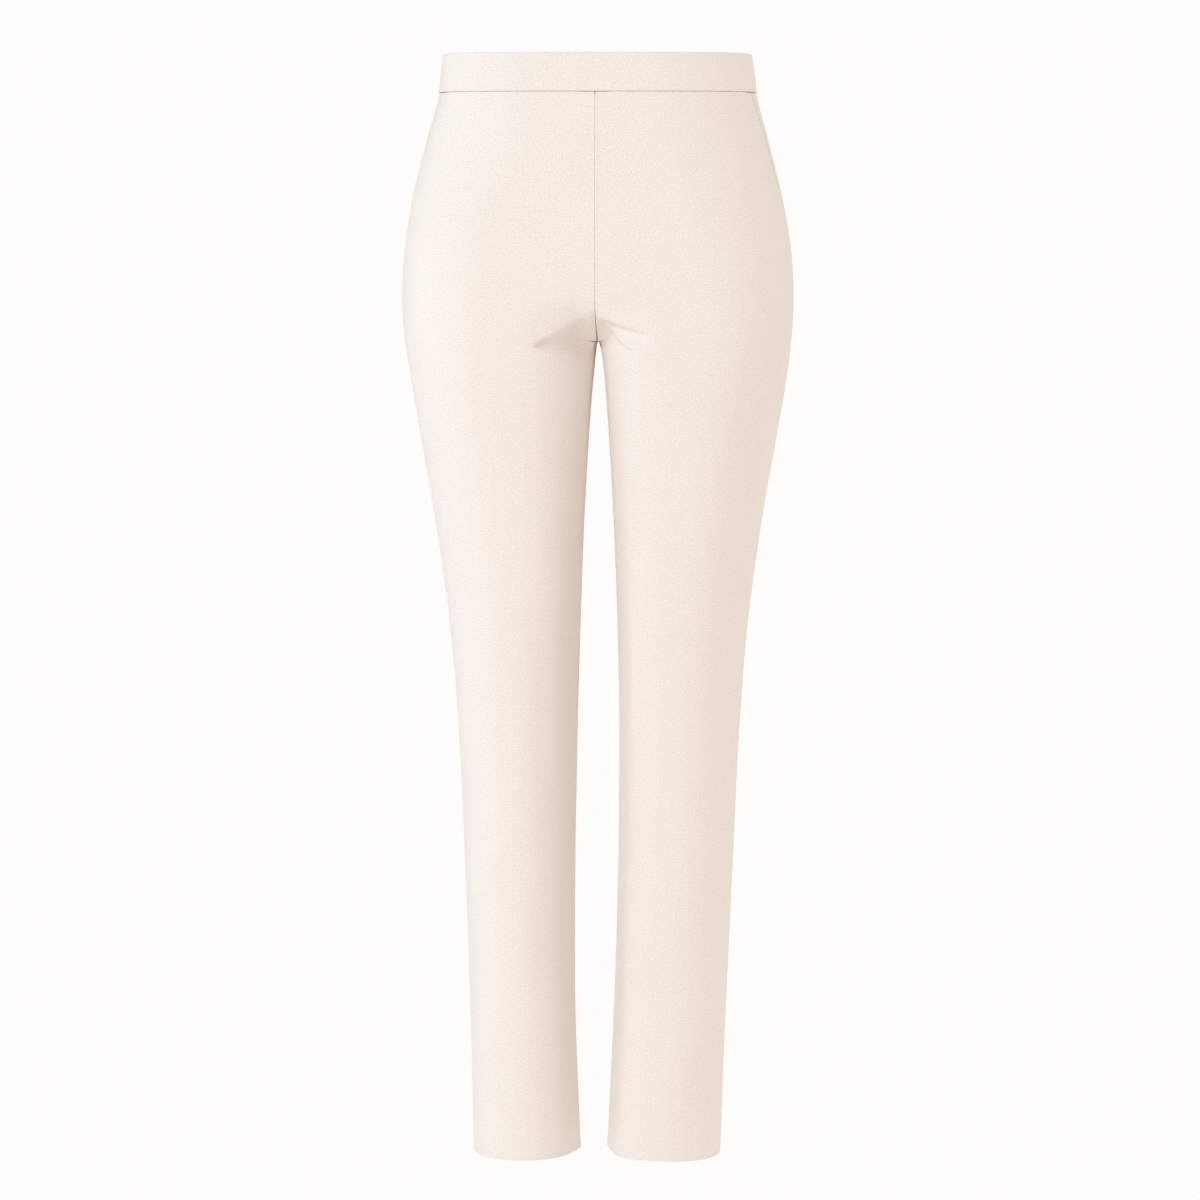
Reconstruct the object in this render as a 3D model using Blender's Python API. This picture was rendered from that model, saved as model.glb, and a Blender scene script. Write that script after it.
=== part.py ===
"""Slim pull-on stretch trousers, filled out as if worn: a waistband and four leg panels of thin cloth.

Metres, +Z up. The origin is the middle of the waist, half way up the waistband. The front faces -Y
and the wearer's left leg is on the +X side.
"""
from collections import namedtuple

import bmesh
import bpy
import numpy as np

# ---- driving dimensions ----
BAND_TOP = 0.018            # top edge of the waistband
WAIST_SEAM = -0.0175        # seam between the waistband and the panels
CROTCH = -0.2475            # point where the four panels meet between the legs
HEM = -1.0180               # lower edge of the legs
PANEL_CLOTH = 0.0015        # wall of a leg panel
BAND_CLOTH = 0.0026         # wall of the waistband: two layers with elastic between them
SEAM_GAP = 0.0003           # clearance between neighbouring pieces
PARTING_RISE = {"front": 0.070, "back": 0.115}   # height above the crotch where the legs start to part
PARTING_POWER = {"front": 1.9, "back": 1.8}      # how early they part on the way down from there
ARCH_SHARE = 0.1            # how much of the parting is a round arch at the crotch itself
ARCH_SHARPNESS = 8.0        # how close to the middle that arch stays
ARCH_FADE = 0.030           # depth below the crotch over which it spreads across the leg
HEM_TILT_FROM = -0.62       # below this the rings turn square to each leg's own line
HEM_TILT = {-1: 0.015, 1: 0.033}    # slope of each hem, outer side low, by side
INSEAM_ROUND = 0.003        # how round the front turns straight back at the inseam
CORNER_SHARPNESS = 12       # how tightly it turns at that corner
LIP_ROUND = 0.5             # how round the lip over a fold is, as a share of its height

# Sections of the garment, from the hem up. For each height: how far each leg's outer side lies from
# the middle, how far the cloth reaches to the front and to the back, where its widest line lies
# between them, how square its corners are at the front and at the back (2 is an ellipse), how steeply
# the front runs back from its inner corner, how far it has fallen back before that, what share of the
# depth runs straight back at the inseam, and how late each leg turns in towards the corner (1 is early).
Section = namedtuple("Section", "height right left front back middle front_square back_square slope fall"
                     " straight right_turn left_turn")
SECTIONS = (
    Section(-1.0180, 0.1190, 0.1160, -0.034, 0.074, 0.0200, 2.05, 2.00, 2.35, 0.60, 0.04, 1.00, 1.80),
    Section(-0.9200, 0.1210, 0.1190, -0.037, 0.074, 0.0185, 2.05, 2.00, 2.35, 0.60, 0.04, 1.00, 1.80),
    Section(-0.8200, 0.1235, 0.1235, -0.042, 0.074, 0.0160, 2.05, 2.00, 2.35, 0.62, 0.04, 1.00, 1.80),
    Section(-0.7200, 0.1270, 0.1280, -0.048, 0.072, 0.0120, 2.05, 2.00, 2.35, 0.63, 0.04, 1.00, 1.80),
    Section(-0.6200, 0.1310, 0.1325, -0.056, 0.069, 0.0065, 2.05, 2.00, 2.30, 0.58, 0.05, 1.02, 1.85),
    Section(-0.5200, 0.1385, 0.1400, -0.065, 0.073, 0.0040, 2.12, 2.00, 2.15, 0.50, 0.12, 1.10, 1.90),
    Section(-0.4200, 0.1515, 0.1525, -0.075, 0.081, 0.0030, 2.22, 2.05, 1.80, 0.45, 0.25, 1.25, 1.90),
    Section(-0.3400, 0.1650, 0.1660, -0.085, 0.089, 0.0025, 2.34, 2.05, 1.60, 0.45, 0.34, 1.30, 1.90),
    Section(-0.2800, 0.1745, 0.1760, -0.094, 0.101, 0.0030, 2.50, 2.05, 1.50, 0.45, 0.38, 1.30, 1.90),
    Section(-0.2475, 0.1795, 0.1800, -0.098, 0.109, 0.0045, 2.65, 2.05, 1.50, 0.42, 0.38, 1.30, 1.90),
    Section(-0.2050, 0.1820, 0.1820, -0.101, 0.117, 0.0070, 2.85, 2.00, 1.50, 0.18, 0.38, 1.30, 1.90),
    Section(-0.1600, 0.1790, 0.1790, -0.103, 0.120, 0.0080, 3.05, 2.00, 1.50, 0.04, 0.38, 1.30, 1.90),
    Section(-0.1100, 0.1710, 0.1705, -0.103, 0.115, 0.0060, 3.10, 2.00, 1.50, 0.00, 0.38, 1.30, 1.90),
    Section(-0.0600, 0.1580, 0.1580, -0.101, 0.106, 0.0030, 3.10, 2.00, 1.50, 0.00, 0.38, 1.30, 1.90),
    Section(-0.0180, 0.1465, 0.1470, -0.097, 0.097, 0.0000, 3.10, 2.05, 1.50, 0.00, 0.38, 1.30, 1.90),
    Section(0.0180, 0.1420, 0.1420, -0.094, 0.093, -0.0010, 3.10, 2.05, 1.50, 0.00, 0.38, 1.30, 1.90),
)

# Inner sides of the legs: how far they lie from the middle, by depth below the crotch. The space
# between the legs opens as an arch, so the table is read along the square root of the depth.
InnerSide = namedtuple("InnerSide", "depth right left")
INNER_SIDES = (
    InnerSide(0.000, 0.0000, 0.0000),
    InnerSide(0.020, 0.0030, 0.0050),
    InnerSide(0.080, 0.0080, 0.0100),
    InnerSide(0.180, 0.0135, 0.0155),
    InnerSide(0.280, 0.0170, 0.0190),
    InnerSide(0.380, 0.0200, 0.0205),
    InnerSide(0.500, 0.0220, 0.0190),
    InnerSide(0.620, 0.0220, 0.0155),
    InnerSide(0.700, 0.0200, 0.0120),
    InnerSide(0.770, 0.0170, 0.0085),
)

# Side seams: they start ahead of the widest line at the waist and reach it on the hip.
SideSeam = namedtuple("SideSeam", "height forward")
SIDE_SEAM = (
    SideSeam(-1.0180, -0.0040),
    SideSeam(-0.3000, -0.0040),
    SideSeam(-0.2000, 0.0000),
    SideSeam(-0.1650, 0.0100),
    SideSeam(-0.1400, 0.0250),
    SideSeam(-0.1180, 0.0375),
    SideSeam(-0.1000, 0.0425),
    SideSeam(-0.0840, 0.0438),
    SideSeam(-0.0500, 0.0445),
    SideSeam(-0.0175, 0.0475),
)

# The largest folds: troughs, and soft ridges where the depth is less than nothing. Each runs between
# two places seen from the front or back, 'across' from the middle, and bends by 'bow' between them.
# The cloth falls from a lip 'above' its line and comes back over 'below', both narrower by the share
# 'taper' at its end, and it fades at both ends over the shares 'comes' and 'goes' of its length.
Fold = namedtuple("Fold", "part side start_across start_height end_across end_height"
                  " bow above below taper depth comes goes")
FOLDS = (
    Fold("front", -1, 0.0000, -0.2440, 0.0600, -0.2505, 0.0000, 0.0235, 0.0140, 0.70, 0.0085, 0.30, 0.40),
    Fold("front", -1, 0.0080, -0.2190, 0.0780, -0.2250, 0.0000, 0.0110, 0.0100, 0.00, 0.0014, 0.35, 0.65),
    Fold("front", 1, 0.0000, -0.2310, 0.0600, -0.2415, -0.0010, 0.0110, 0.0090, 0.40, 0.0040, 0.25, 0.50),
    Fold("front", 1, 0.0020, -0.2395, 0.0430, -0.2595, -0.0010, 0.0095, 0.0085, 0.40, 0.0032, 0.30, 0.50),
    Fold("front", 1, 0.0220, -0.2420, 0.0780, -0.2500, 0.0000, 0.0095, 0.0095, 0.00, -0.0012, 0.45, 0.55),
    Fold("back", -1, 0.0100, -0.2520, 0.1100, -0.2700, 0.0060, 0.0130, 0.0110, 0.20, 0.0032, 0.35, 0.65),
    Fold("back", -1, 0.0120, -0.2860, 0.0800, -0.3120, 0.0030, 0.0120, 0.0110, 0.20, 0.0022, 0.35, 0.65),
    Fold("back", 1, 0.0100, -0.2500, 0.1040, -0.2740, 0.0050, 0.0130, 0.0110, 0.20, 0.0032, 0.35, 0.65),
    Fold("back", 1, 0.0140, -0.2920, 0.0840, -0.3100, 0.0040, 0.0120, 0.0110, 0.20, 0.0022, 0.35, 0.65),
    Fold("back", -1, 0.0300, -0.5180, 0.1180, -0.5060, -0.0030, 0.0140, 0.0120, 0.10, 0.0024, 0.50, 0.50),
    Fold("back", -1, 0.0260, -0.5600, 0.1120, -0.5780, 0.0030, 0.0150, 0.0130, 0.10, 0.0020, 0.45, 0.55),
    Fold("back", 1, 0.0280, -0.5120, 0.1200, -0.5240, 0.0030, 0.0140, 0.0120, 0.10, 0.0024, 0.50, 0.50),
    Fold("back", 1, 0.0300, -0.5720, 0.1140, -0.5560, -0.0030, 0.0150, 0.0130, 0.10, 0.0020, 0.45, 0.55),
)

# ---- mesh density ----
RING_SAMPLES = 181          # points that each corner of a ring is measured with
NORMAL_STEP = 0.0004        # how far apart the points lie that a normal is worked out from
PANEL_COLUMNS = {"front": 24, "back": 16}    # faces across a panel
BAND_COLUMNS = 56           # faces round the waistband
BAND_ROWS = 2
TORSO_ROWS = 18             # faces from the waist seam to the crotch
ARCH_ROWS = 7               # faces in the first stretch below the crotch
ARCH_DEPTH = 0.060
LEG_ROWS = 15               # faces from there to the hem
ROW_POWER = 1.6             # how much closer together the rows lie near the crotch
COLUMN_POWER = 1.4          # how much closer together the columns lie near the middle

CLOTH_COLOUR = (0.87, 0.79, 0.72, 1.0)
CLOTH_ROUGHNESS = 0.9


def smooth(places, values, at):
    """Read a table with a smooth cubic curve through its points, whose slopes come from neighbours."""
    places = np.asarray(places, float)
    values = np.asarray(values, float)
    slopes = np.gradient(values, places)
    row = np.clip(np.searchsorted(places, at) - 1, 0, len(places) - 2)
    step = places[row + 1] - places[row]
    t = np.clip((at - places[row]) / step, 0.0, 1.0)
    start = (1 + 2 * t) * (1 - t) ** 2 * values[row] + t * (1 - t) ** 2 * step * slopes[row]
    end = t ** 2 * (3 - 2 * t) * values[row + 1] + t ** 2 * (t - 1) * step * slopes[row + 1]
    return start + end


def column(table, name):
    return [getattr(row, name) for row in table]


def section(name, height):
    return smooth(column(SECTIONS, "height"), column(SECTIONS, name), height)


def leg_name(side):
    return "left" if side > 0 else "right"


def parting(height, part):
    """How far the legs have parted: 0 on the torso, where a ring runs level across the middle, and 1
    from the crotch down, where it turns back before the middle. A power curve with a level top."""
    share = np.clip((height - CROTCH) / PARTING_RISE[part], 0.0, 1.0)
    power = PARTING_POWER[part]
    return 1.0 - share ** power * (power + 1 - power * share)


def arch(height, part):
    """How much the round arch above the crotch takes off the parting at the middle itself."""
    share = np.clip((height - CROTCH) / PARTING_RISE[part], 0.0, 1.0)
    return ARCH_SHARE * np.sqrt(share) * (1 - share) ** 2


def arch_fade(height):
    """How little the arch below the crotch has spread: 1 at the crotch, dying away down the leg."""
    return np.exp(-max(CROTCH - height, 0.0) / ARCH_FADE)


def inner_side(side, height):
    """Where a leg's inner side lies: on the middle plane above the crotch, then away from it."""
    depth = np.sqrt(max(CROTCH - height, 0.0))
    return smooth(np.sqrt(column(INNER_SIDES, "depth")), column(INNER_SIDES, leg_name(side)), depth)


def crown(side, height):
    """How far from the middle a ring reaches its front and back: near the middle at the waist, and
    half way across the leg from the crotch down."""
    share = np.clip((height - CROTCH) / (BAND_TOP - CROTCH), 0.0, 1.0)
    ease = (1 + np.cos(np.pi * share)) / 2
    inner = inner_side(side, height) * (1 - arch_fade(height))
    return (section(leg_name(side), height) * ease + inner) / 2


def front_inner(cut, slope, fall, straight):
    """Depth of the front's inner half, 1 at the crown and 0 at the inseam: a smooth minimum of a
    parabola and a slanted run back, which ends in a turn straight back to the inseam."""
    parabola = 1 - fall * cut ** 2
    run = slope * (1 - cut) + straight * (1 - np.exp(-(1 - cut) / INSEAM_ROUND)) + 1e-6
    return (parabola ** -CORNER_SHARPNESS + run ** -CORNER_SHARPNESS) ** (-1 / CORNER_SHARPNESS)


def back_inner(cut, square):
    """The same for the back's inner half, which is a superellipse corner."""
    return (1 - cut ** square) ** (1 / square)


def half_face(side, height, part):
    """The front or back of a half ring, from its widest point at the side to the middle or the inseam:
    a superellipse corner out to the crown, and an inner half that is cut where the legs part."""
    square = section(part + "_square", height)
    widest = section("middle", height)
    reach = section(part, height) - widest
    crest = crown(side, height)
    turn = np.sin(np.linspace(0.0, np.pi / 2, RING_SAMPLES))
    outer_x = crest + (section(leg_name(side), height) - crest) * turn[::-1]
    outer_y = widest + reach * (1 - turn[::-1] ** square) ** (1 / square)
    near_middle = turn ** (1 + (ARCH_SHARPNESS - 1) * arch_fade(height))
    inner_x = crest * (1 - turn) + inner_side(side, height) * near_middle
    late = section(leg_name(side) + "_turn", height) if part == "front" else 1.0
    cut = parting(height, part) * turn ** late - arch(height, part) * turn ** ARCH_SHARPNESS
    cut = np.clip(cut, 0.0, 1.0)
    if part == "front":
        slope, fall, straight = (section(name, height) for name in ("slope", "fall", "straight"))
        inner = front_inner(cut, slope, fall, straight)
    else:
        inner = back_inner(cut, square)
    inner_y = widest + reach * inner
    return np.concatenate([outer_x, inner_x[1:]]), np.concatenate([outer_y, inner_y[1:]])


def half_ring(side, height):
    """One half of the garment at one height, from its centre-front or inseam edge round the side to
    its centre-back or inseam edge: its points, and their distances along the cloth from the widest
    point at the side, less than nothing to the front and more to the back."""
    front_x, front_y = half_face(side, height, "front")
    back_x, back_y = half_face(side, height, "back")
    x = np.concatenate([front_x[::-1], back_x[1:]])
    y = np.concatenate([front_y[::-1], back_y[1:]])
    along = np.concatenate([[0.0], np.cumsum(np.hypot(np.diff(x), np.diff(y)))])
    return x, y, along - along[len(front_x) - 1]


def middle_edges(side, height, clear):
    """Where a half ring starts and ends: 'clear' away from the middle plane and from its own ends."""
    x, _, along = half_ring(side, height)
    widest = int(np.argmax(x))
    start = along[0] + clear
    end = along[-1] - clear
    if x[0] < clear:
        start = max(start, np.interp(clear, x[:widest], along[:widest]))
        end = min(end, np.interp(clear, x[:widest:-1], along[:widest:-1]))
    return start, end


def soft_step(share):
    """Rises from 0 to 1 as the share does, level at both ends."""
    share = np.clip(share, 0.0, 1.0)
    return share ** 2 * (3 - 2 * share)


def hem_tilt(side, height):
    """Slope of a ring: level on the thigh, square to the leg's own line at the hem."""
    return HEM_TILT[side] * soft_step((HEM_TILT_FROM - height) / (HEM_TILT_FROM - HEM))


def cloth_point(side, height, at):
    """Points of the outer cloth on one half ring, at distances 'at' from its widest point."""
    x, y, along = half_ring(side, height)
    across = np.interp(at, along, x)
    deep = np.interp(at, along, y)
    up = height - hem_tilt(side, height) * (across - crown(side, height))
    return np.stack([side * across, deep, up], axis=-1)


def cloth_row(side, height, at):
    """Outer points of one half ring and the unit normals there, from the cloth just beside them."""
    points = cloth_point(side, height, at)
    around = cloth_point(side, height, at + NORMAL_STEP) - cloth_point(side, height, at - NORMAL_STEP)
    upward = cloth_point(side, height + NORMAL_STEP, at) - cloth_point(side, height - NORMAL_STEP, at)
    normals = side * np.cross(around, upward)
    return points, normals / np.linalg.norm(normals, axis=-1, keepdims=True)


def fold_profile(fold, away, size):
    """Depth of a fold across its line, 1 on the line: a bell curve, but over a trough's line a quarter
    cosine wave that ends in a lip."""
    bell = np.exp(-(away / (np.where(away > 0, fold.above, fold.below) * size)) ** 2 / 2)
    if fold.depth < 0:
        return bell
    left = 1 - away / (fold.above * size)
    rise = 1 - (left + np.sqrt(left ** 2 + LIP_ROUND ** 2)) / 2
    return np.where(away > 0, np.cos(np.pi / 2 * rise), bell)


def fold_lift(part, side, points):
    """How far the folds lift the cloth off its plain form."""
    lift = np.zeros(points.shape[:-1])
    for fold in FOLDS:
        if (fold.part, fold.side) != (part, side):
            continue
        line = np.array([fold.end_across - fold.start_across, fold.end_height - fold.start_height])
        length = np.hypot(*line)
        across = side * points[..., 0] - fold.start_across
        up = points[..., 2] - fold.start_height
        share = np.clip((across * line[0] + up * line[1]) / length ** 2, 0.0, 1.0)
        away = (up * line[0] - across * line[1]) / length - 4 * fold.bow * share * (1 - share)
        size = 1 - fold.taper * share
        fade = soft_step(share / fold.comes) * soft_step((1 - share) / fold.goes)
        lift -= fold.depth * size * fade * fold_profile(fold, away, size)
    return lift


def panel_heights():
    """Rows of a panel from the waist seam down, close together where the legs part."""
    torso = CROTCH + (WAIST_SEAM - SEAM_GAP / 2 - CROTCH) * np.linspace(1, 0, TORSO_ROWS + 1) ** ROW_POWER
    arch = CROTCH - ARCH_DEPTH * np.linspace(0, 1, ARCH_ROWS + 1)[1:] ** ROW_POWER
    leg = np.linspace(CROTCH - ARCH_DEPTH, HEM, LEG_ROWS + 1)[1:]
    return np.concatenate([torso, arch, leg])


def column_places(side, height, part, edge, seam):
    """Places of a panel's columns along a ring, from its edge at the middle to its side seam. They are
    spaced across the garment as far as the crown and along the cloth from there, so that a column runs
    straight on where the rings turn back between the legs."""
    x, _, along = half_ring(side, height)
    way = 1 if part == "front" else -1
    x, along = x[::way], way * along[::way]
    crown_at = RING_SAMPLES - 1
    steady = np.concatenate([x[:crown_at] - x[crown_at], along[crown_at:] - along[crown_at]])
    near, far = np.interp([way * edge, way * seam], along, steady)
    spread = np.linspace(0.0, 1.0, PANEL_COLUMNS[part] + 1) ** COLUMN_POWER
    at = np.interp(near + (far - near) * spread, steady, along)
    return way * at


def panel_surface(side, part):
    """Outer points of a panel, a row for each height and a column for each step across the cloth,
    and the normals there."""
    clear = SEAM_GAP / 2
    rows = []
    for height in panel_heights():
        start, end = middle_edges(side, height, clear)
        seam = -smooth(column(SIDE_SEAM, "height"), column(SIDE_SEAM, "forward"), height)
        if part == "front":
            at = column_places(side, height, part, start, seam - clear)
        else:
            at = column_places(side, height, part, end, seam + clear)[::-1]
        rows.append(cloth_row(side, height, at))
    points, normals = np.array(rows).swapaxes(0, 1)
    return points + fold_lift(part, side, points)[..., None] * normals, normals


def band_surface():
    """Outer points of the waistband and the normals there, a closed ring for each row, from its top
    edge down. The half on the wearer's right mirrors the other."""
    rows = []
    for height in np.linspace(BAND_TOP, WAIST_SEAM + SEAM_GAP / 2, BAND_ROWS + 1):
        at = np.linspace(*middle_edges(1, height, 0.0), BAND_COLUMNS // 2 + 1)
        half = np.array(cloth_row(1, height, at))
        mirrored = half[:, -2:0:-1] * (-1, 1, 1)
        rows.append(np.concatenate([half, mirrored], axis=1))
    return np.array(rows).swapaxes(0, 1)


def wall(name, surface, thickness, closed, side):
    """A cloth wall as one closed body: the outer grid, the same grid moved inwards, and the rims."""
    points, normals = surface
    rows, columns = points.shape[:2]
    mesh = bmesh.new()
    outer = [[mesh.verts.new(p) for p in row] for row in points]
    inner = [[mesh.verts.new(p) for p in row] for row in points - thickness * normals]

    def face(*corners):
        mesh.faces.new(corners[::side])

    steps = columns if closed else columns - 1
    for j in range(steps):
        k = (j + 1) % columns
        for i in range(rows - 1):
            face(outer[i][j], outer[i + 1][j], outer[i + 1][k], outer[i][k])
            face(inner[i][j], inner[i][k], inner[i + 1][k], inner[i + 1][j])
        face(outer[0][j], outer[0][k], inner[0][k], inner[0][j])
        face(outer[-1][j], inner[-1][j], inner[-1][k], outer[-1][k])
    if not closed:
        for i in range(rows - 1):
            face(outer[i][0], inner[i][0], inner[i + 1][0], outer[i + 1][0])
            face(outer[i][-1], outer[i + 1][-1], inner[i + 1][-1], inner[i][-1])
    data = bpy.data.meshes.new(name)
    mesh.to_mesh(data)
    mesh.free()
    data.shade_smooth()
    return bpy.data.objects.new(name, data)


def cloth_material(name):
    material = bpy.data.materials.new(name)
    material.use_nodes = True
    shader = material.node_tree.nodes["Principled BSDF"]
    shader.inputs["Base Color"].default_value = CLOTH_COLOUR
    shader.inputs["Roughness"].default_value = CLOTH_ROUGHNESS
    shader.inputs["Metallic"].default_value = 0.0
    return material


def make_waistband(collection):
    band = wall("waistband", band_surface(), BAND_CLOTH, closed=True, side=1)
    band.data.materials.append(cloth_material("waistband cloth"))
    collection.objects.link(band)


def make_panel(collection, side, part):
    name = part + "_" + leg_name(side)
    panel = wall(name, panel_surface(side, part), PANEL_CLOTH, closed=False, side=side)
    panel.data.materials.append(cloth_material(name + " cloth"))
    collection.objects.link(panel)


def main():
    for old in list(bpy.data.objects):
        bpy.data.objects.remove(old, do_unlink=True)
    trousers = bpy.data.collections.new("stretch trousers")
    bpy.context.scene.collection.children.link(trousers)
    make_waistband(trousers)
    for side in (-1, 1):
        for part in ("front", "back"):
            make_panel(trousers, side, part)


main()
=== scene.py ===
"""Looks of slim pull-on stretch trousers: fine matte cloth in four leg panels and a waistband, each a
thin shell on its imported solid's form with pressed seams, turned-up hems and soft creases.

Metres, +Z up. The front faces -Y and the wearer's left leg is on the +X side.
"""

from collections import namedtuple

import bpy
import numpy as np
from bpy.props import FloatProperty, FloatVectorProperty, IntProperty, PointerProperty
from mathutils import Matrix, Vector


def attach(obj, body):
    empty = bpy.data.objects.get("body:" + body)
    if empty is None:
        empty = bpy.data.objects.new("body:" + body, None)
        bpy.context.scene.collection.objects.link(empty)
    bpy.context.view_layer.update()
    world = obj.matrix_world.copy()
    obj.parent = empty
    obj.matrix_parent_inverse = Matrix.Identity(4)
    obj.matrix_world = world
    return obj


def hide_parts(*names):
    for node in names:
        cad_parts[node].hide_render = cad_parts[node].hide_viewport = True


bl_info = {
    "name": "Stretch Trousers",
    "version": (1, 0, 0),
    "blender": (4, 5, 0),
    "location": "3D View > Sidebar > Trousers",
    "description": "Dresses the packed trousers in fine stretch cloth",
    "category": "Add Mesh",
}

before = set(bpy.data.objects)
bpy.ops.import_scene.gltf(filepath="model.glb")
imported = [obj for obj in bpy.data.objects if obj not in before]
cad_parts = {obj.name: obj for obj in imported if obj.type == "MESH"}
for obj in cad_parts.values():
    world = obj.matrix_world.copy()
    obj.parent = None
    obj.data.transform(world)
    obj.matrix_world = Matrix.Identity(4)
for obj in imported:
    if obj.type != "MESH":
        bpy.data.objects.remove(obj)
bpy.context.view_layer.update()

# ---- the garment's form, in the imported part's own sizes ----
BAND_TOP = 0.018
WAIST_SEAM = -0.0175
CROTCH = -0.2475
HEM = -1.0180
PARTING_RISE = {"front": 0.070, "back": 0.115}
PARTING_POWER = {"front": 1.9, "back": 1.8}
ARCH_SHARE = 0.1
ARCH_SHARPNESS = 8.0
ARCH_FADE = 0.030
INSEAM_ROUND = 0.003
CORNER_SHARPNESS = 12
LIP_ROUND = 0.1
HEM_TILT_FROM = -0.62
HEM_TILT = {-1: 0.015, 1: 0.033}

Section = namedtuple("Section", "height right left front back middle front_square back_square slope fall"
                     " straight right_turn left_turn")
SECTIONS = (
    Section(-1.0180, 0.1190, 0.1160, -0.034, 0.074, 0.0200, 2.05, 2.00, 2.35, 0.60, 0.04, 1.00, 1.80),
    Section(-0.9200, 0.1210, 0.1190, -0.037, 0.074, 0.0185, 2.05, 2.00, 2.35, 0.60, 0.04, 1.00, 1.80),
    Section(-0.8200, 0.1235, 0.1235, -0.042, 0.074, 0.0160, 2.05, 2.00, 2.35, 0.62, 0.04, 1.00, 1.80),
    Section(-0.7200, 0.1270, 0.1280, -0.048, 0.072, 0.0120, 2.05, 2.00, 2.35, 0.63, 0.04, 1.00, 1.80),
    Section(-0.6200, 0.1310, 0.1325, -0.056, 0.069, 0.0065, 2.05, 2.00, 2.30, 0.58, 0.05, 1.02, 1.85),
    Section(-0.5200, 0.1385, 0.1400, -0.065, 0.073, 0.0040, 2.12, 2.00, 2.15, 0.50, 0.12, 1.10, 1.90),
    Section(-0.4200, 0.1515, 0.1525, -0.075, 0.081, 0.0030, 2.22, 2.05, 1.80, 0.45, 0.25, 1.25, 1.90),
    Section(-0.3400, 0.1650, 0.1660, -0.085, 0.089, 0.0025, 2.34, 2.05, 1.60, 0.45, 0.34, 1.30, 1.90),
    Section(-0.2800, 0.1745, 0.1760, -0.094, 0.101, 0.0030, 2.50, 2.05, 1.50, 0.45, 0.38, 1.30, 1.90),
    Section(-0.2475, 0.1795, 0.1800, -0.098, 0.109, 0.0045, 2.65, 2.05, 1.50, 0.42, 0.38, 1.30, 1.90),
    Section(-0.2050, 0.1820, 0.1820, -0.101, 0.117, 0.0070, 2.85, 2.00, 1.50, 0.18, 0.38, 1.30, 1.90),
    Section(-0.1600, 0.1790, 0.1790, -0.103, 0.120, 0.0080, 3.05, 2.00, 1.50, 0.04, 0.38, 1.30, 1.90),
    Section(-0.1100, 0.1710, 0.1705, -0.103, 0.115, 0.0060, 3.10, 2.00, 1.50, 0.00, 0.38, 1.30, 1.90),
    Section(-0.0600, 0.1580, 0.1580, -0.101, 0.106, 0.0030, 3.10, 2.00, 1.50, 0.00, 0.38, 1.30, 1.90),
    Section(-0.0180, 0.1465, 0.1470, -0.097, 0.097, 0.0000, 3.10, 2.05, 1.50, 0.00, 0.38, 1.30, 1.90),
    Section(0.0180, 0.1420, 0.1420, -0.094, 0.093, -0.0010, 3.10, 2.05, 1.50, 0.00, 0.38, 1.30, 1.90),
)

InnerSide = namedtuple("InnerSide", "depth right left")
INNER_SIDES = (
    InnerSide(0.000, 0.0000, 0.0000),
    InnerSide(0.020, 0.0030, 0.0050),
    InnerSide(0.080, 0.0080, 0.0100),
    InnerSide(0.180, 0.0135, 0.0155),
    InnerSide(0.280, 0.0170, 0.0190),
    InnerSide(0.380, 0.0200, 0.0205),
    InnerSide(0.500, 0.0220, 0.0190),
    InnerSide(0.620, 0.0220, 0.0155),
    InnerSide(0.700, 0.0200, 0.0120),
    InnerSide(0.770, 0.0170, 0.0085),
)

SideSeam = namedtuple("SideSeam", "height forward")
SIDE_SEAM = (
    SideSeam(-1.0180, -0.0040),
    SideSeam(-0.3000, -0.0040),
    SideSeam(-0.2000, 0.0000),
    SideSeam(-0.1650, 0.0100),
    SideSeam(-0.1400, 0.0250),
    SideSeam(-0.1180, 0.0375),
    SideSeam(-0.1000, 0.0425),
    SideSeam(-0.0840, 0.0438),
    SideSeam(-0.0500, 0.0445),
    SideSeam(-0.0175, 0.0475),
)

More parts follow.
